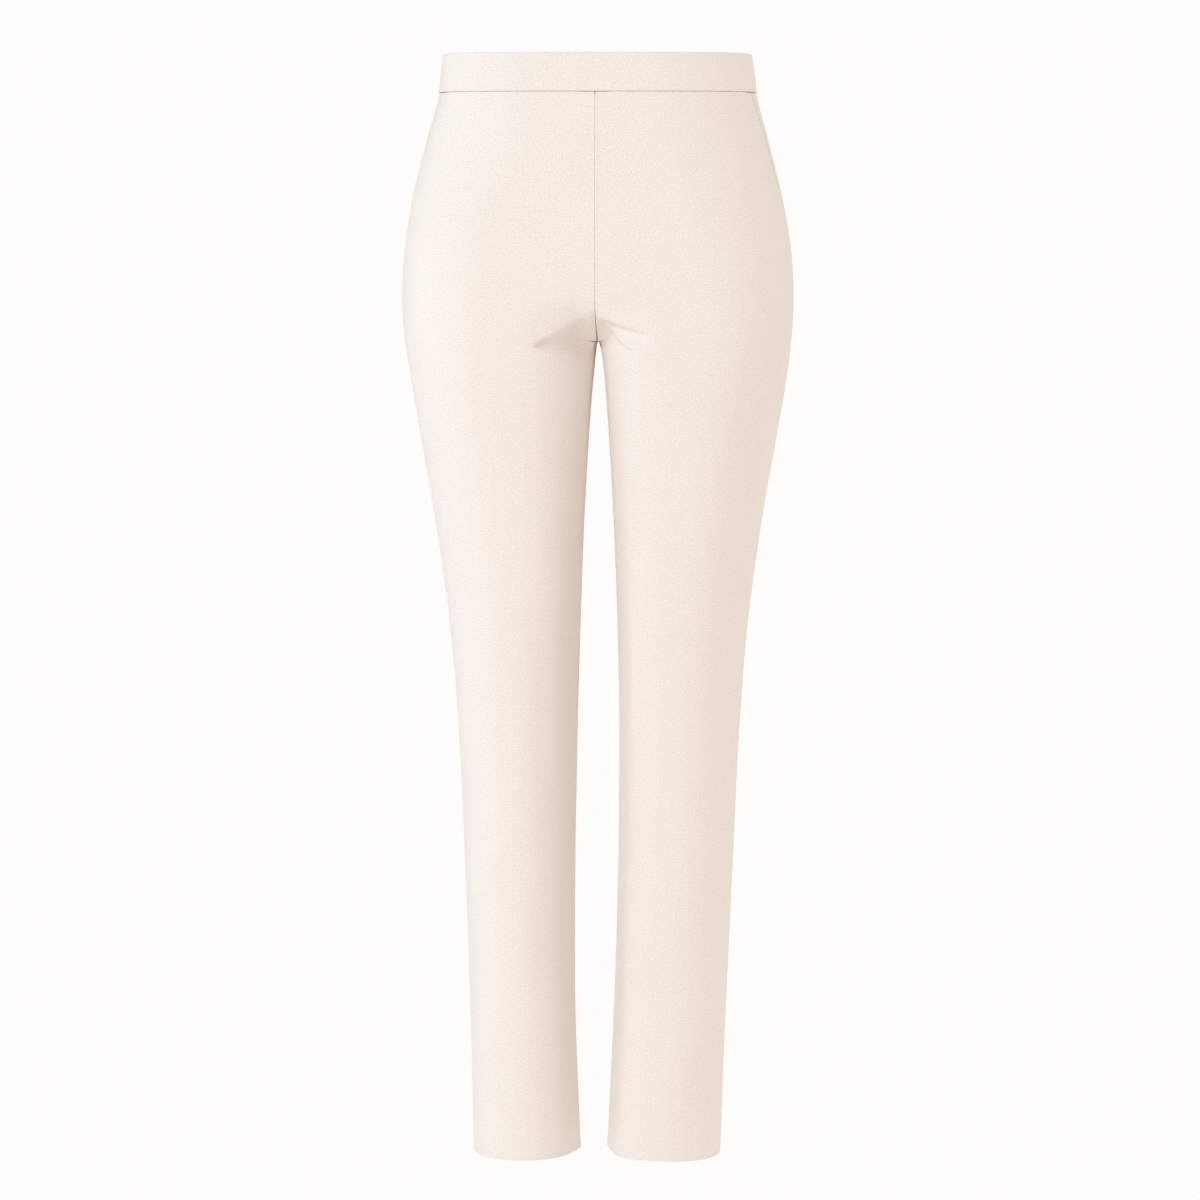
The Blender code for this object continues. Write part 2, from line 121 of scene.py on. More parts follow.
# Creases: troughs, and soft ridges where the depth is less than nothing. Each runs between two places
# seen from the front or back and bends by 'bow' between them. The cloth falls from a lip 'above' its
# line and comes back over 'below', both narrower by the share 'taper' at its end, and it fades at both
# ends over the shares 'comes' and 'goes' of its length.
Crease = namedtuple("Crease", "part side start_across start_height end_across end_height"
                    " bow above below taper depth comes goes")
CREASES = (
    Crease("front", -1, 0.0000, -0.2440, 0.0580, -0.2495, 0.0000, 0.0235, 0.0085, 0.93, 0.0105, 0.22, 0.14),
    Crease("front", -1, 0.0040, -0.2180, 0.0720, -0.2230, 0.0000, 0.0130, 0.0090, 0.00, 0.0026, 0.20, 0.60),
    Crease("front", 1, 0.0000, -0.2320, 0.0560, -0.2413, -0.0010, 0.0095, 0.0080, 0.65, 0.0065, 0.10, 0.35),
    Crease("front", 1, 0.0020, -0.2395, 0.0410, -0.2585, -0.0010, 0.0065, 0.0060, 0.60, 0.0048, 0.12, 0.40),
    Crease("front", 1, 0.0220, -0.2420, 0.0780, -0.2500, 0.0000, 0.0080, 0.0080, 0.00, -0.0014, 0.45, 0.55),
    Crease("front", 1, 0.0080, -0.2120, 0.0600, -0.2180, 0.0000, 0.0100, 0.0080, 0.00, 0.0010, 0.40, 0.60),
    Crease("back", -1, 0.0100, -0.2520, 0.1100, -0.2700, 0.0060, 0.0110, 0.0100, 0.30, 0.0034, 0.35, 0.65),
    Crease("back", -1, 0.0120, -0.2860, 0.0800, -0.3120, 0.0030, 0.0100, 0.0090, 0.30, 0.0024, 0.35, 0.65),
    Crease("back", 1, 0.0100, -0.2500, 0.1040, -0.2740, 0.0050, 0.0110, 0.0100, 0.30, 0.0034, 0.35, 0.65),
    Crease("back", 1, 0.0140, -0.2920, 0.0840, -0.3100, 0.0040, 0.0100, 0.0090, 0.30, 0.0024, 0.35, 0.65),
    Crease("back", -1, 0.0300, -0.5180, 0.1180, -0.5060, -0.0030, 0.0120, 0.0110, 0.20, 0.0024, 0.50, 0.50),
    Crease("back", -1, 0.0260, -0.5600, 0.1120, -0.5780, 0.0030, 0.0130, 0.0120, 0.20, 0.0020, 0.45, 0.55),
    Crease("back", 1, 0.0280, -0.5120, 0.1200, -0.5240, 0.0030, 0.0120, 0.0110, 0.20, 0.0024, 0.50, 0.50),
    Crease("back", 1, 0.0300, -0.5720, 0.1140, -0.5560, -0.0030, 0.0130, 0.0120, 0.20, 0.0020, 0.45, 0.55),
)

# Broad soft swells of the cloth, and hollows where the lift is less than nothing.
Swell = namedtuple("Swell", "part side across height half_width half_height lift")
SWELLS = (
    Swell("front", -1, 0.045, -0.5600, 0.022, 0.030, -0.0016),
    Swell("front", -1, 0.046, -0.6730, 0.016, 0.020, -0.0009),
    Swell("front", -1, 0.046, -0.7500, 0.018, 0.024, 0.0007),
    Swell("front", -1, 0.046, -0.8310, 0.016, 0.024, -0.0010),
    Swell("front", -1, 0.036, -0.9600, 0.016, 0.024, -0.0010),
    Swell("front", 1, 0.098, -0.5100, 0.022, 0.034, -0.0014),
    Swell("front", 1, 0.068, -0.8300, 0.018, 0.030, -0.0009),
    Swell("front", 1, 0.090, -0.9100, 0.018, 0.030, 0.0007),
    Swell("back", -1, 0.070, -0.6500, 0.030, 0.040, 0.0012),
    Swell("back", 1, 0.070, -0.6650, 0.030, 0.036, 0.0012),
    Swell("back", -1, 0.060, -0.8800, 0.024, 0.030, -0.0010),
    Swell("back", 1, 0.078, -0.8600, 0.024, 0.030, -0.0010),
)

# ---- how finely each piece is worked out ----
RING_SAMPLES = 361          # points that each corner of a ring is measured with
TANGENT_STEP = 0.0006       # how far apart the points lie that a direction is worked out from
ROW_STEP = 0.0035           # between rows of a panel, away from the crotch
ROW_STEP_CROTCH = 0.0015    # the same at the crotch
PANEL_COLUMNS = 76          # across the middle of a panel
COLUMN_POWER = 1.3          # how much closer together they lie near the middle of the garment
TURN_COLUMNS = 8            # round the turned edge of a seam
HEM_TURN_ROWS = 10          # round the fold of a hem
WAIST_TURN_ROWS = 5         # round the turned edge at the waist
BAND_COLUMNS = 180          # along each half of the waistband
SEAM_STEPS_MM = (0.0, 0.3, 0.65, 1.0, 1.4, 1.9, 2.6, 4.0, 6.0, 8.5)   # columns beside a seam
BAND_SEAM_STEPS = (0.0, 0.0003, 0.0007, 0.0012, 0.002, 0.0035)        # the same beside the band's join
CROTCH_ROWS_REACH = 0.055   # how far from the crotch the rows widen

# ---- seams and edges ----
PANEL_CLEAR = 0.00001       # from a seam's line to the turned edge on each side of it
BAND_CLEAR = 0.00006        # from the waist seam to the waistband's turned foot
WAIST_TURN_DEPTH = 0.0035   # how far below the waist seam a panel's face starts
HEM_TURN_DEPTH = 0.0045     # how far above the hem a panel's face ends
STACK_EASE = 0.006          # over which the hem's stack thins beside a seam's allowances
CREASES_COME_IN = 0.012     # below the waist seam, over which the creases come in
RAW_EDGE_WIDTH = 0.0035     # of a panel's raw edge that thread covers
SEAM_SHADE_SHARE = 0.6       # how dark the painted shade in a seam's turned edge is, beside the painted shade along a side seam
SIDE_SHADE_WIDTH = 0.0018    # of the painted shade along a side seam
RIDGE_HEIGHT = 0.00034      # of the soft ridge beside a seam
RIDGE_PLACE = 0.0015
RIDGE_WIDTH = 0.0007
RIDGE_SHARE = {-1: 0.3, 1: 1.0}
PUCKER_HEIGHT = 0.00005
PUCKER_REACH = 0.005

# ---- waistband ----
BAND_LIFT = 0.0005          # how far the waistband stands out over the panels
BAND_BULGE = 0.0005         # how much further it stands out half way up
BAND_RIPPLE = 0.00012
BAND_INNER_DROP = 0.0035    # how far below the waist seam its inside reaches
BAND_RAW_WIDTH = 0.003      # strip of its raw edge that thread covers
DITCH_DEPTH = 0.0007        # of the groove at its join
DITCH_WIDTH = 0.0006
JOIN_SHADE_WIDTH = 0.0010    # of the painted shade at its join
FOOT_SHADE_WIDTH = 0.0006    # and of the painted shade at its foot

# Soft lights: degrees round from the front (less than nothing is towards the wearer's right), degrees
# above level, watts, and colour.
StudioLight = namedtuple("StudioLight", "name turn rise power colour")
STUDIO_LIGHTS = (
    StudioLight("far left light", -105, 15, 14.5, (1.00, 0.98, 0.98)),
    StudioLight("key light", -45, 20, 27.5, (0.89, 0.94, 1.00)),
    StudioLight("front light", -15, 20, 23.2, (0.87, 0.95, 1.00)),
    StudioLight("warm light", 55, 18, 4.1, (1.00, 0.26, 0.05)),
    StudioLight("low light", 20, -12, 4.9, (1.00, 0.37, 0.05)),
    StudioLight("far right light", 105, 15, 25.4, (1.00, 1.00, 0.96)),
    StudioLight("top light", 60, 60, 6.8, (1.00, 0.96, 0.83)),
    StudioLight("back light", 180, 20, 30.0, (1.00, 1.00, 1.00)),
)
LIGHT_SIZE = 1.4
LIGHT_DISTANCE = 3.2
LIGHT_TARGET = (0.0, 0.0, -0.5)
CAMERA_TARGET = (0.0019, 0.0, -0.4898)

# The cloth's surface, apart from its colour.
CLOTH_FINISH = {
    "Roughness": 0.88,
    "IOR": 1.45,
    "Specular IOR Level": 0.22,
    "Sheen Weight": 0.12,
    "Sheen Roughness": 0.45,
    "Sheen Tint": (1.0, 0.97, 0.94, 1.0),
}


class TrouserSettings(bpy.types.PropertyGroup):
    """Sizes and colours of the cloth."""
    cloth_thickness: FloatProperty(
        name="Cloth thickness", description="Thickness of one layer of cloth",
        default=0.0006, min=0.0004, max=0.0015, precision=5, unit="LENGTH")
    fold_gap: FloatProperty(
        name="Fold gap", description="Space between two layers that are pressed together",
        default=0.0002, min=0.0001, max=0.001, precision=5, unit="LENGTH")
    seam_allowance: FloatProperty(
        name="Seam allowance", description="Width of the cloth that is pressed open behind a seam",
        default=0.010, min=0.004, max=0.020, precision=4, unit="LENGTH")
    hem_depth: FloatProperty(
        name="Hem depth", description="How much cloth is turned up inside each leg",
        default=0.030, min=0.010, max=0.060, precision=4, unit="LENGTH")
    band_thickness: FloatProperty(
        name="Waistband thickness", description="Two layers of cloth with the elastic between them",
        default=0.0031, min=0.002, max=0.006, precision=5, unit="LENGTH")
    crease_depth: FloatProperty(
        name="Crease depth", description="Share of the creases' full depth",
        default=1.0, min=0.0, max=1.5, subtype="FACTOR")
    cloth_colour: FloatVectorProperty(
        name="Cloth colour", description="Colour of the trouser cloth",
        default=(0.900, 0.843, 0.800), size=3, min=0.0, max=1.0, subtype="COLOR")
    thread_pitch: FloatProperty(
        name="Thread pitch", description="Distance between neighbouring threads of the weave",
        default=0.00042, min=0.0002, max=0.002, precision=5, unit="LENGTH")
    grain: FloatProperty(
        name="Grain", description="How strongly the pebbled surface of the cloth shows",
        default=1.0, min=0.0, max=3.0, subtype="FACTOR")


class StudioSettings(bpy.types.PropertyGroup):
    """Camera, floor and light."""
    camera_distance: FloatProperty(
        name="Camera distance", description="From the camera to the garment's middle plane",
        default=4.0, min=1.0, max=10.0, unit="LENGTH")
    camera_turn: FloatProperty(
        name="Camera turn", description="How far the camera stands round to the wearer's left",
        default=float(np.radians(1.6)), subtype="ANGLE")
    camera_height: FloatProperty(
        name="Camera height", description="Height of the camera above the middle of the waist",
        default=-0.100, unit="LENGTH")
    lens: FloatProperty(
        name="Lens", description="Focal length for a 36 mm wide picture",
        default=128.49, min=20.0, max=400.0)
    light_power: FloatProperty(
        name="Lights", description="Share of the soft lights' own power",
        default=1.0, min=0.0, max=10.0, subtype="FACTOR")
    fill_strength: FloatProperty(
        name="Fill light", description="Strength of the light that comes from all around",
        default=0.549, min=0.0, max=5.0)
    fill_colour: FloatVectorProperty(
        name="Fill colour", description="Colour of the light that comes from all around",
        default=(1.0, 0.978, 0.939), size=3, min=0.0, max=1.0, subtype="COLOR")
    floor_drop: FloatProperty(
        name="Floor drop", description="How far the floor lies below the hems",
        default=0.55, min=0.0, max=3.0, unit="LENGTH")
    floor_colour: FloatVectorProperty(
        name="Floor colour", description="Colour of the floor and of the space behind",
        default=(0.990, 0.980, 0.975), size=3, min=0.0, max=1.0, subtype="COLOR")
    light_bounces: IntProperty(
        name="Light bounces", description="How often light passes on from cloth to cloth",
        default=12, min=1, max=32)
    floor_size: IntProperty(
        name="Floor size", description="Length of the floor's side, in metres",
        default=4, min=1, max=20)


# ---- the form of the cloth ----
def smooth(places, values, at):
    """Cubic curve through a table's points, whose slopes there come from the neighbouring points."""
    places = np.asarray(places, float)
    values = np.asarray(values, float)
    slopes = np.gradient(values, places)
    row = np.clip(np.searchsorted(places, at) - 1, 0, len(places) - 2)
    step = places[row + 1] - places[row]
    t = np.clip((at - places[row]) / step, 0.0, 1.0)
    start = (1 + 2 * t) * (1 - t) ** 2 * values[row] + t * (1 - t) ** 2 * step * slopes[row]
    end = t ** 2 * (3 - 2 * t) * values[row + 1] + t ** 2 * (t - 1) * step * slopes[row + 1]
    return start + end


def soft_step(share):
    """Rises from 0 to 1 as the share does, level at both ends: 3 share squared less 2 share cubed."""
    share = np.clip(share, 0.0, 1.0)
    return share ** 2 * (3 - 2 * share)


def column(table, name):
    return [getattr(row, name) for row in table]


def section(name, height):
    return smooth(column(SECTIONS, "height"), column(SECTIONS, name), height)


def leg_name(side):
    return "left" if side > 0 else "right"


def parting(height, part):
    """How far the two legs have parted at a height: 0 on the torso and 1 from the crotch down, on a
    power curve with a level top."""
    share = np.clip((height - CROTCH) / PARTING_RISE[part], 0.0, 1.0)
    power = PARTING_POWER[part]
    return 1.0 - share ** power * (power + 1 - power * share)


def arch(height, part):
    """How much the round arch above the crotch takes off the parting at the middle itself: the square
    root of the share of the way up, times the square of what is left of it."""
    share = np.clip((height - CROTCH) / PARTING_RISE[part], 0.0, 1.0)
    return ARCH_SHARE * np.sqrt(share) * (1 - share) ** 2


def arch_fade(height):
    """How little the arch below the crotch has spread: 1 at the crotch, dying away exponentially."""
    return np.exp(-np.maximum(CROTCH - height, 0.0) / ARCH_FADE)


def inner_side(side, height):
    """Where a leg's inner side lies: read along the square root of the depth below the crotch."""
    depth = np.sqrt(np.maximum(CROTCH - height, 0.0))
    return smooth(np.sqrt(column(INNER_SIDES, "depth")), column(INNER_SIDES, leg_name(side)), depth)


def crown(side, height):
    """How far from the middle a ring reaches its front and back: near the middle at the waist, and
    half way across the leg from the crotch down, eased between them by a cosine."""
    share = np.clip((height - CROTCH) / (BAND_TOP - CROTCH), 0.0, 1.0)
    ease = (1 + np.cos(np.pi * share)) / 2
    inner = inner_side(side, height) * (1 - arch_fade(height))
    return (section(leg_name(side), height) * ease + inner) / 2


def front_inner(cut, slope, fall, straight):
    """Depth of the front's inner half, 1 at the crown and 0 at the inseam: the smooth minimum (a power
    mean) of a parabola and of a slanted run back, to which an exponential adds the straight end."""
    parabola = 1 - fall * cut ** 2
    run = slope * (1 - cut) + straight * (1 - np.exp(-(1 - cut) / INSEAM_ROUND)) + 1e-6
    return (parabola ** -CORNER_SHARPNESS + run ** -CORNER_SHARPNESS) ** (-1 / CORNER_SHARPNESS)


def back_inner(cut, square):
    """The same for the back's inner half, which is a superellipse corner."""
    return (1 - cut ** square) ** (1 / square)


def half_face(side, height, part):
    """Front or back of the half rings, a row for each height, from the widest point to the middle or
    the inseam. The outer corner is a superellipse: its depth is the n-th root of 1 less the n-th power
    of the sine of the turn. The inner half is read at a power of the sine times the parting, less
    the arch."""
    height = height[:, None]
    square = section(part + "_square", height)
    widest = section("middle", height)
    reach = section(part, height) - widest
    crest = crown(side, height)
    turn = np.sin(np.linspace(0.0, np.pi / 2, RING_SAMPLES))[None, :]
    back_turn = turn[:, ::-1]
    outer_x = crest + (section(leg_name(side), height) - crest) * back_turn
    outer_y = widest + reach * (1 - back_turn ** square) ** (1 / square)
    near_middle = turn ** (1 + (ARCH_SHARPNESS - 1) * arch_fade(height))
    inner_x = crest * (1 - turn) + inner_side(side, height) * near_middle
    late = section(leg_name(side) + "_turn", height) if part == "front" else 1.0
    cut = parting(height, part) * turn ** late - arch(height, part) * turn ** ARCH_SHARPNESS
    cut = np.clip(cut, 0.0, 1.0)
    if part == "front":
        slope, fall, straight = (section(name, height) for name in ("slope", "fall", "straight"))
        inner = front_inner(cut, slope, fall, straight)
    else:
        inner = back_inner(cut, square)
    inner_y = widest + reach * inner
    return (np.concatenate([outer_x, inner_x[:, 1:]], axis=1),
            np.concatenate([outer_y, inner_y[:, 1:]], axis=1))


def half_ring(side, height):
    """Half rings at several heights, from the front edge round the side to the back edge: their points
    and their distances along the cloth from the widest point, less than nothing to the front."""
    front_x, front_y = half_face(side, height, "front")
    back_x, back_y = half_face(side, height, "back")
    x = np.concatenate([front_x[:, ::-1], back_x[:, 1:]], axis=1)
    y = np.concatenate([front_y[:, ::-1], back_y[:, 1:]], axis=1)
    steps = np.hypot(np.diff(x, axis=1), np.diff(y, axis=1))
    along = np.concatenate([np.zeros((len(x), 1)), np.cumsum(steps, axis=1)], axis=1)
    widest = front_x.shape[1] - 1
    return x, y, along - along[:, widest:widest + 1]


def read_rows(at, places, values):
    """Linear reading of each row of a table at that row's own places: the rows are laid end to end,
    each moved on by a fixed distance, and read as one."""
    at = np.clip(at, places[:, :1], places[:, -1:])
    shift = 10.0 * np.arange(len(places))[:, None]
    flat = np.interp((at + shift).ravel(), (places + shift).ravel(), values.ravel())
    return flat.reshape(at.shape)


def middle_edges(side, height, clear):
    """Where each half ring starts and ends: 'clear' away from the middle plane and from its ends."""
    x, _, along = half_ring(side, height)
    widest = x.shape[1] // 2
    start = along[:, 0] + clear
    end = along[:, -1] - clear
    goal = np.full((len(x), 1), clear)
    front = read_rows(goal, x[:, :widest], along[:, :widest])[:, 0]
    back = read_rows(goal, x[:, :widest:-1], along[:, :widest:-1])[:, 0]
    cut = x[:, 0] < clear
    return np.where(cut, np.maximum(start, front), start), np.where(cut, np.minimum(end, back), end)


def hem_tilt(side, height):
    """Slope of a ring: level on the thigh, square to the leg's own line at the hem."""
    return HEM_TILT[side] * soft_step((HEM_TILT_FROM - height) / (HEM_TILT_FROM - HEM))


def cloth_points(side, height, at):
    """Points of the outer cloth, a row for each height, at distances 'at' from the widest point."""
    x, y, along = half_ring(side, height)
    across = read_rows(at, along, x)
    deep = read_rows(at, along, y)
    level = height[:, None]
    up = level - hem_tilt(side, level) * (across - crown(side, level))
    return np.stack([side * across, deep, np.broadcast_to(up, across.shape)], axis=-1)


def unit(vectors):
    return vectors / np.linalg.norm(vectors, axis=-1, keepdims=True)


def cloth_frames(side, height, at):
    """Points of the outer cloth with the unit directions up the cloth, and out of it, there."""
    level = np.clip(height, HEM + TANGENT_STEP, BAND_TOP - TANGENT_STEP)
    around = (cloth_points(side, level, at + TANGENT_STEP)
              - cloth_points(side, level, at - TANGENT_STEP))
    upward = (cloth_points(side, level + TANGENT_STEP, at)
              - cloth_points(side, level - TANGENT_STEP, at))
    outward = unit(side * np.cross(around, upward))
    return cloth_points(side, height, at), unit(upward), outward


def crease_profile(crease, away, size):
    """Depth of a crease across its line, 1 on the line: a bell curve, but over a trough's line a quarter
    cosine wave that ends in a lip, whose corner is rounded as a hyperbola."""
    bell = np.exp(-(away / (np.where(away > 0, crease.above, crease.below) * size)) ** 2 / 2)
    if crease.depth < 0:
        return bell
    left = 1 - away / (crease.above * size)
    rise = 1 - (left + np.sqrt(left ** 2 + LIP_ROUND ** 2)) / 2
    return np.where(away > 0, np.cos(np.pi / 2 * rise), bell)


def crease_lift(part, side, points):
    """How far creases and swells lift the cloth off its plain form. A crease's profile is read at the
    distance from its bent line and scaled by its depth and the square root of its size, and a swell is
    a bell curve both ways."""
    lift = np.zeros(points.shape[:-1])
    across = side * points[..., 0]
    for crease in CREASES:
        if (crease.part, crease.side) != (part, side):
            continue
        line = np.array([crease.end_across - crease.start_across, crease.end_height - crease.start_height])
        length = np.hypot(*line)
        right = across - crease.start_across
        up = points[..., 2] - crease.start_height
        share = np.clip((right * line[0] + up * line[1]) / length ** 2, 0.0, 1.0)
        away = (up * line[0] - right * line[1]) / length - 4 * crease.bow * share * (1 - share)
        size = 1 - crease.taper * share
        fade = soft_step(share / crease.comes) * soft_step((1 - share) / crease.goes)
        lift -= crease.depth * np.sqrt(size) * fade * crease_profile(crease, away, size)
    for swell in SWELLS:
        if (swell.part, swell.side) != (part, side):
            continue
        right = (across - swell.across) / swell.half_width
        up = (points[..., 2] - swell.height) / swell.half_height
        lift += swell.lift * np.exp(-(right ** 2 + up ** 2) / 2)
    return lift * bpy.context.scene.trousers.crease_depth


def pucker(from_seam, height, phase):
    """Faint drawing-in beside a seam: three sine waves along it that die away as a bell curve."""
    wave = (np.sin(height / 0.0011 + phase) + 0.7 * np.sin(height / 0.0017 + 2.1 * phase)
            + 0.6 * np.sin(height / 0.0043 + 0.7 * phase))
    return PUCKER_HEIGHT * wave * np.exp(-(from_seam / PUCKER_REACH) ** 2)


def seam_ridge(from_seam):
    """Soft ridge of cloth that stands up over the turned edges just beside a seam: a bell curve."""
    return RIDGE_HEIGHT * np.exp(-((from_seam - RIDGE_PLACE) / RIDGE_WIDTH) ** 2)


# ---- panels ----
def panel_columns(allowance):
    """Columns of a panel, from the raw edge behind its first seam to the raw edge behind its second:
    the share of the way across, the angle of turn at a seam's edge, and the distance run from the turn.
    The angle is half a turn on an allowance and nothing on the face."""
    steps = np.array(SEAM_STEPS_MM) / 1000
    behind = allowance * np.array([1.0, 0.92, 0.6, 0.3, 0.08])
    turn = np.linspace(np.pi, 0.0, TURN_COLUMNS + 2)[:-1]
    middle = np.linspace(0.0, 1.0, PANEL_COLUMNS + 2)[1:-1]
    angle = np.concatenate([np.full(len(behind), np.pi), turn, np.zeros(len(steps))])
    run = np.concatenate([behind, np.zeros(len(turn)), steps])
    share = np.concatenate([np.zeros(len(run)), middle, np.ones(len(run))])
    angle = np.concatenate([angle, np.zeros(len(middle)), angle[::-1]])
    run = np.concatenate([run, np.full(len(middle), steps[-1]), run[::-1]])
    return share, angle, run


def panel_rows(hem_depth):
    """Rows of a panel, from its edge inside the waist seam to the raw edge of its hem: the height, the
    angle of turn, and which way the cloth runs back from a turned edge (-1 down from the waist, 1 up
    from the hem, 0 on the face)."""
    ends = (WAIST_SEAM - WAIST_TURN_DEPTH, HEM + HEM_TURN_DEPTH)
    fine = np.linspace(*ends, 4000)
    near_crotch = np.exp(-((fine - CROTCH) / CROTCH_ROWS_REACH) ** 2)
    spread = ROW_STEP - (ROW_STEP - ROW_STEP_CROTCH) * near_crotch
    count = np.concatenate([[0.0], np.cumsum(-np.diff(fine) / spread[1:])])
    body = np.interp(np.linspace(0.0, count[-1], int(count[-1]) + 1), count, fine)
    waist_turn = np.linspace(np.pi / 2, 0.0, WAIST_TURN_ROWS)
    hem_turn = np.linspace(0.0, np.pi, HEM_TURN_ROWS)
    turned_up = HEM + hem_depth * np.array([0.05, 0.14, 0.3, 0.5, 0.7, 0.86, 0.96, 1.0])
    height = np.concatenate([np.full(len(waist_turn), WAIST_SEAM), body,
                             np.full(len(hem_turn), HEM), turned_up])
    angle = np.concatenate([waist_turn, np.zeros(len(body)), hem_turn, np.full(len(turned_up), np.pi)])
    way = np.concatenate([-np.ones(len(waist_turn)), np.zeros(len(body)),
                          np.ones(len(hem_turn) + len(turned_up))])
    return height, angle, way


def column_places(side, height, part, edge, seam):
    """Places along each ring of a panel's middle columns, from the middle of the garment to the side
    seam. They are spaced across the garment as far as the crown and along the cloth from there, by a
    power of even steps, so that a column runs straight on where the rings turn back."""
    x, _, along = half_ring(side, height)
    way = 1 if part == "front" else -1
    x, along = x[:, ::way], way * along[:, ::way]
    crown_at = RING_SAMPLES - 1
    steady = np.concatenate([x[:, :crown_at] - x[:, crown_at:crown_at + 1],
                             along[:, crown_at:] - along[:, crown_at:crown_at + 1]], axis=1)
    ends = read_rows(way * np.stack([edge, seam], axis=1), along, steady)
    near, far = ends[:, :1], ends[:, 1:]
    spread = np.linspace(0.0, 1.0, PANEL_COLUMNS + 2)[None, 1:-1] ** COLUMN_POWER
    return way * read_rows(near + (far - near) * spread, steady, along)


def edge_slant(side, height, edge):
    """How steeply each ring meets the middle seam: the sine of the angle between them, at least 0.25."""
    line = cloth_points(side, height, edge[:, None])[:, 0]
    ring = cloth_points(side, height, edge[:, None] + np.array([[-0.001, 0.001]]))
    ring = unit(ring[:, 1] - ring[:, 0])
    seam = unit(np.gradient(line, axis=0) + 1e-9)
    return np.clip(np.linalg.norm(np.cross(ring, seam), axis=-1), 0.25, 1.0)


def panel_marks(cloth, rows, angle, run, side_near):
    """How much painted shade each point of a panel gets at a seam, and how near it is to a raw edge, from 0
    to 1: the shade lies on the turned edges and as a bell curve beside the side seam, and the raw edge is
    the last strip of each allowance and of the hem."""
    height, row_angle, way = rows
    # painted shade: the seam's turned edge and a bell curve along the side seam's line are darkened
    on_seam = np.maximum(SEAM_SHADE_SHARE * soft_step(angle / 1.5) * (angle < 2.0),
                         np.exp(-(side_near / SIDE_SHADE_WIDTH) ** 2) * (angle < 0.1))
    side_left = cloth.seam_allowance - run
    hem_left = HEM + cloth.hem_depth - height
    raw_side = np.where(angle > 3.0, np.clip(1 - side_left / RAW_EDGE_WIDTH, 0, 1), 0.0)
    raw_hem = np.where(way * row_angle > 3.0, np.clip(1 - hem_left / RAW_EDGE_WIDTH, 0, 1), 0.0)
    return on_seam, np.maximum(raw_side, raw_hem[:, None])


def panel_face(side, part, cloth, inside):
    """One face of a panel's cloth as a grid of points, with its flat coordinates, the painted shade at its
    seams, and how near each point is to a raw edge.

    Across the panel the cloth lies on the form, turns back round a half circle at each seam and lies
    open behind it. A point's depth under the form is R less r times the cosine of the turn, and its
    distance from the seam R less r times the sine, where R is the turn's outer radius and r the radius
    of this face. At the hem and waist the whole stack turns in the same way round its own radius."""
    thickness = cloth.cloth_thickness
    turn_radius = thickness + cloth.fold_gap / 2
    face_radius = cloth.fold_gap / 2 if inside else turn_radius
    share, angle, run = (row[None, :] for row in panel_columns(cloth.seam_allowance))
    height, row_angle, way = panel_rows(cloth.hem_depth)
    start, end = middle_edges(side, height, PANEL_CLEAR)
    seam = -smooth(column(SIDE_SEAM, "height"), column(SIDE_SEAM, "forward"), height)
    if part == "front":
        first, last = start, seam - PANEL_CLEAR
        slant_first, slant_last = edge_slant(side, height, first), np.ones(len(height))
    else:
        first, last = seam + PANEL_CLEAR, end
        slant_first, slant_last = np.ones(len(height)), edge_slant(side, height, last)
    in_from_seam = turn_radius - face_radius * np.sin(angle)
    from_first = first[:, None] + in_from_seam / slant_first[:, None] + run
    from_last = last[:, None] - in_from_seam / slant_last[:, None] - run
    at = from_first * (1 - share) + from_last * share
    middle = (share[0] > 0) & (share[0] < 1)
    inner, outer = from_first[:, middle][:, 0], from_last[:, middle][:, 0]
    if part == "front":
        at[:, middle] = column_places(side, height, part, inner, outer)
    else:
        at[:, middle] = column_places(side, height, part, outer, inner)[:, ::-1]
    depth = turn_radius - face_radius * np.cos(angle)

    near = np.minimum(at - first[:, None], last[:, None] - at)
    doubled = 1 - soft_step((near - cloth.seam_allowance - turn_radius) / STACK_EASE)
    stack = thickness + (2 * turn_radius - thickness) * doubled
    stack_radius = stack + cloth.fold_gap / 2
    turn = row_angle[:, None]
    back = stack_radius - (stack_radius - depth) * np.sin(turn)
    deep = stack_radius - (stack_radius - depth) * np.cos(turn)

    points, upward, outward = cloth_frames(side, height, at)
    lift = crease_lift(part, side, points)
    lift *= soft_step((WAIST_SEAM - height) / CREASES_COME_IN)[:, None]
    lift += pucker(near, height[:, None] * np.ones_like(at), 1.7 * side + (3.0 if part == "back" else 0.0))
    lift += seam_ridge(near) * RIDGE_SHARE[side]
    points = points + (way[:, None] * back)[..., None] * upward + (lift - deep)[..., None] * outward

    flat_up = height[:, None] - np.where(way > 0, turn_radius * row_angle, 0.0)[:, None] + 0 * at
    side_near = last[:, None] - at if part == "front" else at - first[:, None]
    # the seam value is painted shade for the seams' ditches and lines
    on_seam, raw = panel_marks(cloth, (height, row_angle, way), angle, run, side_near)
    return points, np.stack([at, flat_up], axis=-1), on_seam, raw


def edge_rim(line, behind, turned):
    """Faces between an edge of one grid and the same edge 'behind' numbers further on."""
    faces = np.stack([line[:-1], line[1:], line[1:] + behind, line[:-1] + behind], axis=-1)
    return faces[:, ::-1] if turned else faces


